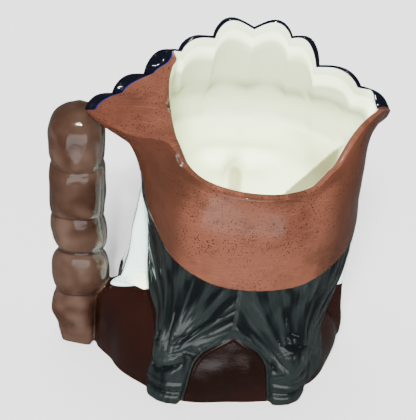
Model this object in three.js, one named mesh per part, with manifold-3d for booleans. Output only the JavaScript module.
// A slip-cast ceramic character jug, in millimetres: the bust of a man in a feather headdress.
// The headdress is the rim. It runs out to a pouring lip on one side and to the handle on the
// other, and the handle is a carved pole. Vessel and handle are one fired piece.
// The face looks along -Y, the handle is on +X, the pouring lip on -X, and the underside is z = 0.
import * as THREE from 'three';
import { mergeVertices } from 'three/addons/utils/BufferGeometryUtils.js';
import Module from 'manifold-3d';

const wasm = await Module();
wasm.setup();

// ---------------------------------------------------------------- driving dimensions
const WALL = 4.6;                // thickness of the cast wall
const TIP_WALL = 3.4;            // how much thicker the rim is at the very tip of the pouring lip
const RIM_DROP = 4;              // how far the fan's rim falls towards the inside
const FLOOR = 7;                 // thickness of the bottom
const FLOOR_ROUND = 12;          // radius where the inside wall turns into the floor
const NECK = 125;                // height at which the headdress starts to flare out of the head
const FAN_FRONT = 37;            // distance of the fan's edge in front of the axis
const FAN_BOW = 0.00465;         // how fast the fan's edge bows back, per mm squared
const CURL_START = 55;           // beyond this x the fan curls back to the handle
const CURL = 0.006;
// x of the opening's edge beside the handle, by angle from the handle
const OPENING_SIDE = [[-30, 40.2], [-24.5, 42.1], [-15.4, 43.6], [-7.4, 43.7], [4.5, 42.9], [19, 41.8],
  [31, 40.2], [40, 37.6]];
const OPENING_TURNS = 40;        // beyond this angle the edge simply follows the wall

// The fan's feathers, from the pouring lip to the handle: the notch before each one, and how far
// its rounded tip rises over its notches. The last row is the corner at the handle.
const FAN = [
  { x: -75.5, z: 164, rise: 3.5 },
  { x: -60.7, z: 171.3, rise: 5 },
  { x: -38, z: 176.9, rise: 8 },
  { x: -22.1, z: 191.3, rise: 6.8 },
  { x: -0.3, z: 194.4, rise: 8.3 },
  { x: 21.8, z: 188.7, rise: 4.3 },
  { x: 40.1, z: 182, rise: 7.4 },
  { x: 57.3, z: 170.6, rise: 5 },
  { x: 73.5, z: 164.8, rise: 4 },
  { x: 86.8, z: 162.5, rise: 0 },
];
const MIDDLE_NOTCH = 4;          // the row of the notch in the middle
const LEAN = { spout: 0.75, handle: 0.65 };    // below 1 the tips lean away from the middle

// Plain sections of the head, each at one height: how far it reaches to the handle side, to the
// pouring side, to the back and to the face, and how square its plan is.
const HEAD = [
  { z: 0, handle: 42, spout: 48, back: 49, face: 38, square: 2.6 },
  { z: 30, handle: 46, spout: 51, back: 49.5, face: 38, square: 2.5 },
  { z: 55, handle: 49, spout: 58, back: 50, face: 42, square: 2.3 },
  { z: 80, handle: 50, spout: 62.5, back: 50, face: 45, square: 2.2 },
  { z: 105, handle: 52.5, spout: 62.5, back: 50.5, face: 46, square: 2.2 },
  { z: NECK, handle: 55.5, spout: 61, back: 51.5, face: 44, square: 2.2 },
];

// The robe over the shoulders: an oval a little in front of the axis, by half width and depth. It
// swells behind the handle and behind the lip, bridges out to the handle, and tucks in at the foot
// below the lip.
const ROBE = { centre: -14, side: 72, front: 44, back: 60, swell: 11, top: 50 };
const BRIDGE = { out: 8, at: 2, half: 16 };
const HANDLE_SWELL = { out: 4.2, at: 20, half: 22 };
const SPOUT_SWELL = { out: 3, at: 146, half: 20 };
const TUCK = { out: 3, at: 180, half: 24, high: 12 };
// How square the shoulder is in height, by angle from the handle: flat beside the handle, sloping
// on the chest.
const SHOULDER = [[-90, 2.2], [-45, 2.2], [-20, 2.4], [-8, 3.6], [4, 9], [12, 6], [30, 3.2], [60, 3],
  [120, 3], [160, 2.6], [200, 2.2], [270, 2.2]];
// The back panel of the robe between the two locks of hair.
const PANEL = { side: 45, back: 49.5, face: 30, square: 5, top: 92, full: 28 };

// ---------------------------------------------------------------- small helpers
const clamp = (v, lo, hi) => Math.min(hi, Math.max(lo, v));
const mix = (a, b, t) => a + (b - a) * t;
const step = (a, b, v) => {
  const t = clamp((v - a) / (b - a), 0, 1);
  return t * t * (3 - 2 * t);
};
const hump = (v, middle, half) => {
  const t = clamp(Math.abs(v - middle) / half, 0, 1);
  return 0.5 + 0.5 * Math.cos(Math.PI * t);
};
const joined = (a, b, soft) => (a + b + Math.sqrt((a - b) ** 2 + soft ** 2)) / 2;

// A smooth line through rows of [position, value], level at both ends.
function through(rows, v) {
  if (v <= rows[0][0]) return rows[0][1];
  const last = rows.length - 1;
  if (v >= rows[last][0]) return rows[last][1];
  let i = 0;
  while (v > rows[i + 1][0]) i += 1;
  const slope = (k) => (k <= 0 || k >= last ? 0
    : (rows[k + 1][1] - rows[k - 1][1]) / (rows[k + 1][0] - rows[k - 1][0]));
  const w = rows[i + 1][0] - rows[i][0];
  const t = (v - rows[i][0]) / w;
  return (2 * t ** 3 - 3 * t ** 2 + 1) * rows[i][1] + (t ** 3 - 2 * t ** 2 + t) * w * slope(i)
    + (3 * t ** 2 - 2 * t ** 3) * rows[i + 1][1] + (t ** 3 - t ** 2) * w * slope(i + 1);
}

// An angle in degrees from the handle, between the face's middle at -90 and the same at 270.
function degreesFromHandle(angle) {
  const turn = THREE.MathUtils.radToDeg(angle);
  if (turn < -90) return turn + 360;
  return turn > 270 ? turn - 360 : turn;
}

// Distance from the axis to an oval plan, in the direction of an angle.
function oval(angle, handle, spout, back, face, square) {
  const c = Math.cos(angle);
  const s = Math.sin(angle);
  const across = Math.abs(c) / (c > 0 ? handle : spout);
  const along = Math.abs(s) / (s > 0 ? back : face);
  return (across ** square + along ** square) ** (-1 / square);
}

// ---------------------------------------------------------------- plain body
const headRow = (key, z) => through(HEAD.map((row) => [row.z, row[key]]), z);

function head(angle, z) {
  return oval(angle, headRow('handle', z), headRow('spout', z), headRow('back', z),
    headRow('face', z), headRow('square', z));
}

function robe(angle, z) {
  if (z >= ROBE.top) return 0;
  const c = Math.cos(angle) / ROBE.side;
  const behind = ROBE.back + ROBE.swell * Math.max(0, Math.sin(2 * angle));
  const depth = mix(ROBE.front, behind, step(-0.3, 0.1, Math.sin(angle)));
  const turn = degreesFromHandle(angle);
  const square = through(SHOULDER, turn);
  const s = Math.sin(angle) / depth;
  const shift = ROBE.centre / depth;
  const a = c * c + s * s;
  const b = -s * shift;
  const swell = (area) => area.out * hump(turn, area.at, area.half);
  const tuck = swell(TUCK) * Math.max(0, 1 - z / TUCK.high) ** 2;
  const reach = (-b + Math.sqrt(b * b - a * (shift * shift - 1))) / a - tuck;
  const swollen = reach + swell(BRIDGE) + swell(HANDLE_SWELL) + swell(SPOUT_SWELL);
  return swollen * (1 - (z / ROBE.top) ** square) ** (1 / square);
}

function panel(angle, z) {
  const rise = step(PANEL.top, PANEL.full, z);
  const full = oval(angle, PANEL.side, PANEL.side, PANEL.back, PANEL.face, PANEL.square);
  return mix(full * 0.85, full, rise);
}

function plain(angle, z) {
  return joined(joined(head(angle, z), robe(angle, z), 5), panel(angle, z), 2);
}

// ---------------------------------------------------------------- the rim, column by column
// The fan's edge over x: how far back it stands and how high its notches are.
const fanBack = (x) => -FAN_FRONT + FAN_BOW * x * x + CURL * Math.max(0, x - CURL_START) ** 2;

// A place on the fan's edge, counted in feathers from its first row.
function fanPlace(count) {
  const k = Math.min(Math.floor(count), FAN.length - 2);
  const part = count - k;
  const x = mix(FAN[k].x, FAN[k + 1].x, part);
  const across = k < MIDDLE_NOTCH ? part ** LEAN.spout : (1 - part) ** LEAN.handle;
  const rise = FAN[k].rise * Math.sin(Math.PI * across);
  return { x, notch: mix(FAN[k].z, FAN[k + 1].z, part), rise };
}

// The opening's edge and the top of the outer wall behind the fan, by angle from the handle.
const LIP_BACK = [[6, 165.7], [20, 163.6], [31, 161.2], [40, 156.5], [44.5, 152.3], [54, 148.6],
  [65, 147], [91, 146.3], [109, 145.3], [125, 145.8], [131, 148.6], [137, 151.7], [143, 153.8], [148, 158.6],
  [154, 164.3], [161, 168], [170, 170], [179, 168.8], [188, 164.2]];
const EDGE_REACH = [[2, 87], [9, 76], [16, 64], [24, 56.5], [34, 53], [61, 53], [92, 54.5],
  [117, 54], [137, 55], [151, 57], [165, 61.5], [178, 69], [188, 76.2]];
const TIP = { at: 188, half: 13 };         // where the rim thickens, in degrees from the handle
const EDGE_DROP = [[2, 3.2], [9, 7.5], [16, 8.5], [24, 4.5], [34, 1], [50, 0]];

// Distance from the axis to the opening's edge beside the handle.
function sideOf(angle) {
  const degrees = THREE.MathUtils.radToDeg(angle);
  const beside = degrees > -OPENING_TURNS - 6 && degrees < OPENING_TURNS;
  return beside ? through(OPENING_SIDE, degrees) / Math.cos(angle) : 999;
}

function fanColumn(feathers) {
  const place = fanPlace(feathers);
  const x = place.x;
  const y = fanBack(x);
  const angle = Math.atan2(y, x);
  const reach = Math.hypot(x, y);
  const edge = place.notch + place.rise;
  const wall = WALL + TIP_WALL * step(0.9, 0, feathers);
  const lip = -joined(-(reach - wall), -sideOf(angle), 1);
  const lipY = lip * Math.sin(angle);
  const webLip = lipY < 0 ? 167 - 0.52 * lipY : 167 - 0.18 * lipY;
  const web = x > 0 ? step(0, 6, reach - wall - lip) : 0;
  const lipZ = mix(edge - RIM_DROP * step(0, 0.9, feathers), webLip, web);
  return { angle, reach, edge, rise: place.rise, lip, lipZ, feathers, web };
}

function backColumn(angle) {
  const degrees = THREE.MathUtils.radToDeg(angle);
  const lipZ = through(LIP_BACK, degrees);
  const reach = through(EDGE_REACH, degrees);
  const wall = WALL + TIP_WALL * hump(degrees, TIP.at, TIP.half);
  const lip = -joined(-(reach - wall), -sideOf(angle), 1);
  const web = step(0, 6, reach - wall - lip);
  const edge = lipZ - through(EDGE_DROP, degrees);
  return { angle, reach, edge, rise: 0, lip, lipZ, feathers: null, web };
}

const PER_FEATHER = [4, 4, 6, 10, 10, 6, 5, 4, 4];   // columns in each feather of the fan
const BEHIND = 23;               // steps from the corner at the handle back to the pouring lip
const LOCK_CROWDING = 0.026;     // draws the columns behind closer together at the two locks

function rimColumns() {
  const list = [];
  PER_FEATHER.forEach((steps, k) => {
    for (let i = 0; i < steps; i += 1) list.push(fanColumn(k + i / steps));
  });
  list.push(fanColumn(PER_FEATHER.length));
  const start = list[list.length - 1].angle;
  const end = list[0].angle + 2 * Math.PI;
  for (let i = 1; i < BEHIND; i += 1) {
    const even = i / BEHIND;
    const t = even + LOCK_CROWDING * Math.sin(4 * Math.PI * even);
    list.push(backColumn(mix(start, end, t)));
  }
  return list;
}

// ---------------------------------------------------------------- carving on the outside
const BROW = 110;
const NOSE_BASE = 85;
const CHIN = 60;
const MOUTH = NOSE_BASE - (NOSE_BASE - CHIN) / 3;
const EYE = BROW - 6;
const EYE_APART = 12.5;
const BAND_LOW = 134;
const BAND_HIGH = 151;

// Height of the face over the plain head, at a place seen from the front.
function face(x, z) {
  const side = Math.abs(x);
  const eyeX = side - EYE_APART;
  let h = 2.6 * hump(z, BROW + 1, 9) * step(30, 16, side);
  h -= 4.2 * (1 - step(0.2, 1.2, Math.hypot(eyeX / 11, (z - EYE) / 8)));
  h += 3 * (1 - step(0.1, 1.15, Math.hypot(eyeX / 8, (z - EYE + 0.5) / 5.5)));
  const down = clamp((BROW - z) / (BROW - NOSE_BASE - 4), 0, 1);
  const ridge = mix(3.5, 11.5, down ** 1.2) * step(BROW + 14, BROW - 4, z);
  h += ridge * hump(x, 0, mix(7, 10, down)) * step(NOSE_BASE - 2.5, NOSE_BASE + 3.5, z);
  h += 3.5 * hump(side, 7.5, 5) * hump(z, NOSE_BASE + 3, 6);
  h += 2.6 * hump(side, 21, 13) * hump(z, 95, 16);
  h += 3.2 * step(15, 4, side) * hump(z, MOUTH + 3, 4.2);
  h += 3.6 * step(13, 4, side) * hump(z, MOUTH - 3.6, 4.8);
  h += 2.5 * hump(side, 0, 22) * hump(z, MOUTH, 15);
  h += 5 * hump(side, 0, 17) * hump(z, CHIN + 4, 11);
  return h;
}

function frontRelief(x, z) {
  const jaw = through([[CHIN - 8, 10], [CHIN, 19], [CHIN + 12, 26], [92, 30], [BAND_LOW, 31]], z);
  const side = Math.abs(x);
  const onFace = step(jaw + 4.5, jaw - 4.5, side) * step(CHIN - 8, CHIN + 1, z);
  const hair = 3.4 * hump(side, jaw + 9, 9) * step(42, 54, z);
  const throat = 4 * step(CHIN + 3, CHIN - 6, z) * step(24, 12, side) * step(40, 48, z);
  return onFace * (face(x, z) + 1.5) + (1 - onFace) * (hair - throat);
}

// The robe in front: a rolled collar, a closing edge down the middle and soft folds.
function robeRelief(angle, x, z) {
  const low = step(50, 38, z) * step(0, 12, z);
  const folds = 1.1 * Math.cos(11 * (angle + Math.PI / 2)) * step(0.25, 0.6, Math.abs(Math.cos(angle)));
  const collar = 2.2 * hump(z, 45 - 0.1 * Math.abs(x), 5);
  const closing = -1.4 * hump(x, 0, 4) + 1.2 * hump(Math.abs(x), 6.5, 4.5);
  return low * (folds + closing) + collar;
}

function band(angle, z) {
  const round = step(BAND_LOW - 1.5, BAND_LOW + 1.5, z) * step(BAND_HIGH + 1.5, BAND_HIGH - 1.5, z);
  return 3 * round * step(0.05, -0.25, Math.sin(angle));
}

// The upright feathers of the fan: grooves between them and a raised middle.
function fanRelief(column, z) {
  if (column.feathers === null) return 0;
  const part = column.feathers - Math.floor(column.feathers);
  const vane = Math.sin(Math.PI * part) ** 0.7;
  return (2.4 * vane - 1.2) * step(BAND_HIGH - 1, BAND_HIGH + 4, z);
}

// The crescent edge of the headdress's leather back, over the hair.
const CRESCENT = [[-62, 104], [-55, 90], [-45, 80], [-26, 79], [-10, 82], [7, 87], [23, 93], [37, 101],
  [45, 109], [51, 119], [56, 132]];
// The arch in the hair over the robe's back panel: half width by height.
const ARCH = [[0, 27], [20, 25], [36, 19], [50, 8], [57, 0]];
const LOCK = [[0, 37], [14, 37], [24, 38], [45, 33], [60, 26]];

function backRelief(x, z, reach) {
  const leather = step(-2.5, 1.5, z - through(CRESCENT, x));
  const arch = through(ARCH, z);
  const side = Math.abs(x - 2);
  const inHair = step(arch - 1, arch + 3, side) * (1 - leather);
  const lockMiddle = through(LOCK, z);
  let lock = 5 * hump(side, lockMiddle, 15) * step(78, 34, z);
  lock -= 2.5 * hump(z, 15, 4) * hump(side, lockMiddle, 15);
  return 1.6 * leather + inHair * (0.6 + lock) - (1 - inHair) * (1 - leather) * 1.2;
}

// The long feather that hangs at each side of the head, in front of the hair: how far it stands
// out over the head, by height.
const HANG_HANDLE = [[36, 20], [41, 17.8], [46, 15.8], [53, 13.2], [60, 11.3], [66, 10.2], [82, 8.4],
  [100, 4.2], [115, 1], [126, 0]];
const HANG_SPOUT = [[6, 22.5], [14, 22.4], [21, 21], [30, 18], [38, 15], [45, 12.1], [51, 10.3], [57, 8.8],
  [68, 6.6], [80, 4.8], [96, 3.2], [112, 1], [126, 0]];
const HANG_FOOT_HANDLE = [22, 40];         // the heights between which each one fades in
const HANG_FOOT_SPOUT = [1, 9];

function sideFeather(angle, z) {
  const turn = degreesFromHandle(angle);
  const fromHandle = turn;
  const fromSpout = 180 - turn;
  const handle = step(3, -2, fromHandle) * step(-36, -22, fromHandle) * step(...HANG_FOOT_HANDLE, z);
  const spout = step(3, -2, fromSpout) * step(-36, -22, fromSpout) * step(...HANG_FOOT_SPOUT, z);
  return handle * through(HANG_HANDLE, z) + spout * through(HANG_SPOUT, z);
}

// How the wall runs out from the neck, at 0, to the rim, at 1: under the wing that reaches the
// handle, and under the tip of the pouring lip.
const WING_PROFILE = [[0, 0], [0.33, 0.05], [0.54, 0.17], [0.67, 0.36], [0.77, 0.62], [0.88, 0.87], [1, 1]];
const TIP_PROFILE = [[0, 0], [0.3, 0.02], [0.54, 0.14], [0.72, 0.4], [0.85, 0.84], [0.93, 0.97], [1, 1]];

function outer(column, z) {
  const angle = column.angle;
  const low = Math.min(z, NECK);
  const base = joined(plain(angle, low), head(angle, low) + sideFeather(angle, low), 1.5);
  const x = base * Math.cos(angle);
  const turn = Math.sin(angle);
  let reach = base;
  if (z > NECK) {
    const t = (z - NECK) / (column.edge - NECK);
    const near = step(14, 24, column.reach - base);
    const slow = mix(1.8, 3.6, step(-0.4, -0.8, Math.cos(angle)));
    const lip = mix(t ** slow, through(TIP_PROFILE, t), step(-0.93, -0.985, Math.cos(angle)));
    reach = mix(base, column.reach, mix(lip, through(WING_PROFILE, t), near));
  }
  if (turn < 0) {
    const fade = step(BAND_HIGH, BAND_LOW, z);
    reach += frontRelief(x, Math.min(z, BAND_LOW)) * fade * step(0, -0.3, turn);
    reach += band(angle, z) + fanRelief(column, z) + robeRelief(angle, x, z) * step(-0.1, -0.5, turn);
  }
  if (turn > 0) reach += backRelief(x, z, reach) * step(0, 0.25, turn) * step(column.edge, NECK - 4, z);
  return reach;
}

// ---------------------------------------------------------------- the hollow
function inner(column, z) {
  const angle = column.angle;
  const low = Math.min(z, NECK);
  let reach = plain(angle, low) - WALL;
  if (z > NECK) {
    const t = (z - NECK) / (column.lipZ - NECK);
    reach = mix(reach, column.lip, t ** 1.4);
  }
  const rise = clamp((FLOOR + FLOOR_ROUND - z) / FLOOR_ROUND, 0, 1);
  reach -= FLOOR_ROUND * (1 - Math.sqrt(1 - rise * rise));
  const x = reach * Math.cos(angle);
  if (Math.sin(angle) < 0) {
    reach += 7 * hump(x, 0, 9) * step(NOSE_BASE - 4, NOSE_BASE + 6, z) * step(BROW + 2, NOSE_BASE + 8, z);
    reach += 2.2 * step(BAND_LOW, BAND_LOW + 4, z) * step(BAND_HIGH + 4, BAND_HIGH, z)
      * step(0, -0.3, Math.sin(angle));
  }
  return reach;
}

// ---------------------------------------------------------------- building the vessel
const LEVELS = [0, 5, 10, 14, 19, 25, 31, 37, 42, 46, 50, 54, 58, 61.5, 65, 68.5, 72, 75.5, 79, 82, 85,
  88, 92, 96, 100, 104, 108, 112, 117, NECK];
// Above the neck the levels in front follow the headband, and behind they share out the height.
const BAND_LEVELS = [129, BAND_LOW - 1.5, BAND_LOW + 1.5, 142.5, BAND_HIGH - 1.5, BAND_HIGH + 1.5, 156.5];
const FAN_LEVELS = [0.35, 0.7, 1];
const RIM = [0.25, 0.6, 1];
// Inside, down from the opening's edge: shares of the height to the neck, then levels to the floor.
const INSIDE_HIGH = [0.14, 0.34, 0.56, 0.8];
const INSIDE_LOW = [NECK, 112, 103, 94, 85, 70, 45, 19, 11, FLOOR];

function levelAbove(column, k) {
  const rows = BAND_LEVELS.length;
  const even = (k + 1) / (rows + FAN_LEVELS.length);
  const behind = mix(NECK, column.edge, even);
  const inFront = k < rows ? BAND_LEVELS[k] : mix(BAND_LEVELS[rows - 1], column.edge, FAN_LEVELS[k - rows]);
  return mix(behind, inFront, step(-0.02, -0.4, Math.sin(column.angle)));
}

function outlineRings(columns) {
  const at = (column, reach, z) => [reach * Math.cos(column.angle), reach * Math.sin(column.angle), z];
  const rings = LEVELS.map((z) => columns.map((c) => at(c, outer(c, z), z)));
  for (let k = 0; k < BAND_LEVELS.length + FAN_LEVELS.length; k += 1) {
    rings.push(columns.map((c) => at(c, outer(c, levelAbove(c, k)), levelAbove(c, k))));
  }
  for (const part of RIM) {
    rings.push(columns.map((c) => {
      const start = outer(c, c.edge);
      const crown = 1.2 * Math.sin(Math.PI * part) * (1 - c.web);
      const scallop = c.rise * ((1 - part) ** 4 - (1 - part)) * c.web;
      const along = mix(part * part, part, c.web);
      return at(c, mix(start, c.lip, part), mix(c.edge, c.lipZ, along) + crown + scallop);
    }));
  }
  for (const part of INSIDE_HIGH) {
    rings.push(columns.map((c) => at(c, inner(c, mix(c.lipZ, NECK, part)), mix(c.lipZ, NECK, part))));
  }
  for (const z of INSIDE_LOW) rings.push(columns.map((c) => at(c, inner(c, z), z)));
  return rings;
}

// Rings of points closed into a solid, with a flat cap at each end.
function solidOfRings(rings) {
  const count = rings[0].length;
  const positions = rings.flat(2);
  const middle = (ring) => [0, 1, 2].map((k) => ring.reduce((sum, p) => sum + p[k], 0) / count);
  positions.push(...middle(rings[0]), ...middle(rings[rings.length - 1]));
  const bottom = rings.length * count;
  const index = [];
  const apart = (p, q) => Math.hypot(...[0, 1, 2].map((k) => positions[3 * p + k] - positions[3 * q + k]));
  for (let i = 0; i < count; i += 1) {
    const j = (i + 1) % count;
    index.push(bottom, j, i);
    for (let k = 0; k + 1 < rings.length; k += 1) {
      const a = k * count;
      const b = a + count;
      const rising = apart(a + i, b + j) <= apart(a + j, b + i);
      if (rising) index.push(a + i, a + j, b + j, a + i, b + j, b + i);
      else index.push(a + i, a + j, b + i, a + j, b + j, b + i);
    }
    const top = (rings.length - 1) * count;
    index.push(bottom + 1, top + i, top + j);
  }
  const mesh = new wasm.Mesh({
    numProp: 3,
    vertProperties: new Float32Array(positions),
    triVerts: new Uint32Array(index),
  });
  return new wasm.Manifold(mesh);
}

// ---------------------------------------------------------------- the handle
// Sections of the carved pole: middle, half width, half depth and how square it is.
const POLE_BACK = -4.5;
const POLE = [
  { z: 0, x: 85.9, wide: 10.4, deep: 11, square: 5, lift: 0 },
  { z: 6, x: 86.5, wide: 10.9, deep: 11.4, square: 5, lift: 0 },
  { z: 13, x: 87.4, wide: 11.2, deep: 12, square: 4, lift: 0.05 },
  { z: 18, x: 88.7, wide: 12.1, deep: 12.5, square: 3.6, lift: 0.07 },
  { z: 22, x: 89.8, wide: 12.9, deep: 13, square: 3.2, lift: 0.1 },
  { z: 31, x: 89.2, wide: 13.2, deep: 13.2, square: 2.6, lift: 0.2 },
  { z: 36, x: 87.6, wide: 13.4, deep: 13.2, square: 2.3, lift: 0.25 },
  { z: 39, x: 86.6, wide: 15.8, deep: 15, square: 2.2, lift: 0.3 },
  { z: 46, x: 86.8, wide: 17.1, deep: 16, square: 2.1, lift: 0.35 },
  { z: 55, x: 87.1, wide: 16.5, deep: 15.4, square: 2.1, lift: 0.4 },
  { z: 61, x: 87.3, wide: 14.9, deep: 14.4, square: 2.1, lift: 0.42 },
  { z: 65, x: 87.4, wide: 13.2, deep: 13, square: 2.1, lift: 0.43 },
  { z: 71, x: 88, wide: 15, deep: 14.2, square: 2.1, lift: 0.43 },
  { z: 80, x: 88.7, wide: 15.7, deep: 14.8, square: 2.1, lift: 0.43 },
  { z: 89, x: 89.4, wide: 14.9, deep: 14, square: 2.1, lift: 0.4 },
  { z: 97, x: 89.8, wide: 15.3, deep: 14.7, square: 2.1, lift: 0.25 },
  { z: 108, x: 90, wide: 15.5, deep: 15, square: 2.2, lift: 0.1 },
  { z: 121, x: 90.3, wide: 15.2, deep: 14.8, square: 2.2, lift: 0 },
  { z: 125.5, x: 90.5, wide: 14.2, deep: 13.8, square: 2.2, lift: 0 },
  { z: 130, x: 90.8, wide: 15.1, deep: 14.7, square: 2.2, lift: 0 },
  { z: 141, x: 90.9, wide: 15.4, deep: 15, square: 2.2, lift: 0 },
  { z: 149, x: 90.8, wide: 14.4, deep: 14.2, square: 2.1, lift: 0 },
  { z: 155, x: 90.5, wide: 11.2, deep: 11.2, square: 2, lift: 0 },
  { z: 158.5, x: 90, wide: 6.5, deep: 6.5, square: 2, lift: 0 },
  { z: 159.5, x: 89.8, wide: 2.5, deep: 2.5, square: 2, lift: 0 },
];
// The foot block is cut square and turned away from the vessel, clockwise seen from above.
const FOOT_TURN = THREE.MathUtils.degToRad(-13);
const FOOT_TOP = 31;
const TURN_END = 39;
const POLE_LEVELS = [0, 8, 16, 24, 30, 34, 36.5, 39, 42, 47, 53, 58, 62, 65, 68, 73, 79, 85, 89, 93,
  98, 106, 114, 121, 123.5, 126, 128.5, 133, 141, 147, 151, 154.5, 157.5, 159.5];

const POLE_SIDES = 18;

function poleRing(z) {
  const value = (key) => through(POLE.map((row) => [row.z, row[key]]), z);
  const turn = FOOT_TURN * step(TURN_END, FOOT_TOP, z);
  const ring = [];
  for (let i = 0; i < POLE_SIDES; i += 1) {
    const angle = (2 * Math.PI * i) / POLE_SIDES;
    const wide = value('wide');
    const deep = value('deep');
    const reach = oval(angle, wide, wide, deep, deep, value('square'));
    const x = reach * Math.cos(angle + turn);
    const y = reach * Math.sin(angle + turn);
    ring.push([value('x') + x, POLE_BACK + y, z + value('lift') * y]);
  }
  return ring;
}

function handle() {
  return solidOfRings(POLE_LEVELS.map(poleRing));
}

// ---------------------------------------------------------------- the whole jug
function meshOf(solid) {
  const data = solid.getMesh();
  const geometry = new THREE.BufferGeometry();
  geometry.setAttribute('position', new THREE.BufferAttribute(data.vertProperties, 3));
  geometry.setIndex(new THREE.BufferAttribute(data.triVerts, 1));
  return mergeVertices(geometry, 1e-4);
}

const vessel = solidOfRings(outlineRings(rimColumns()));
const glaze = new THREE.MeshStandardMaterial({ color: 0x96603f, roughness: 0.2, metalness: 0 });
const jug = new THREE.Mesh(meshOf(vessel.add(handle())), glaze);
jug.name = 'jug';

const part = new THREE.Group();
part.add(jug);
export default part;
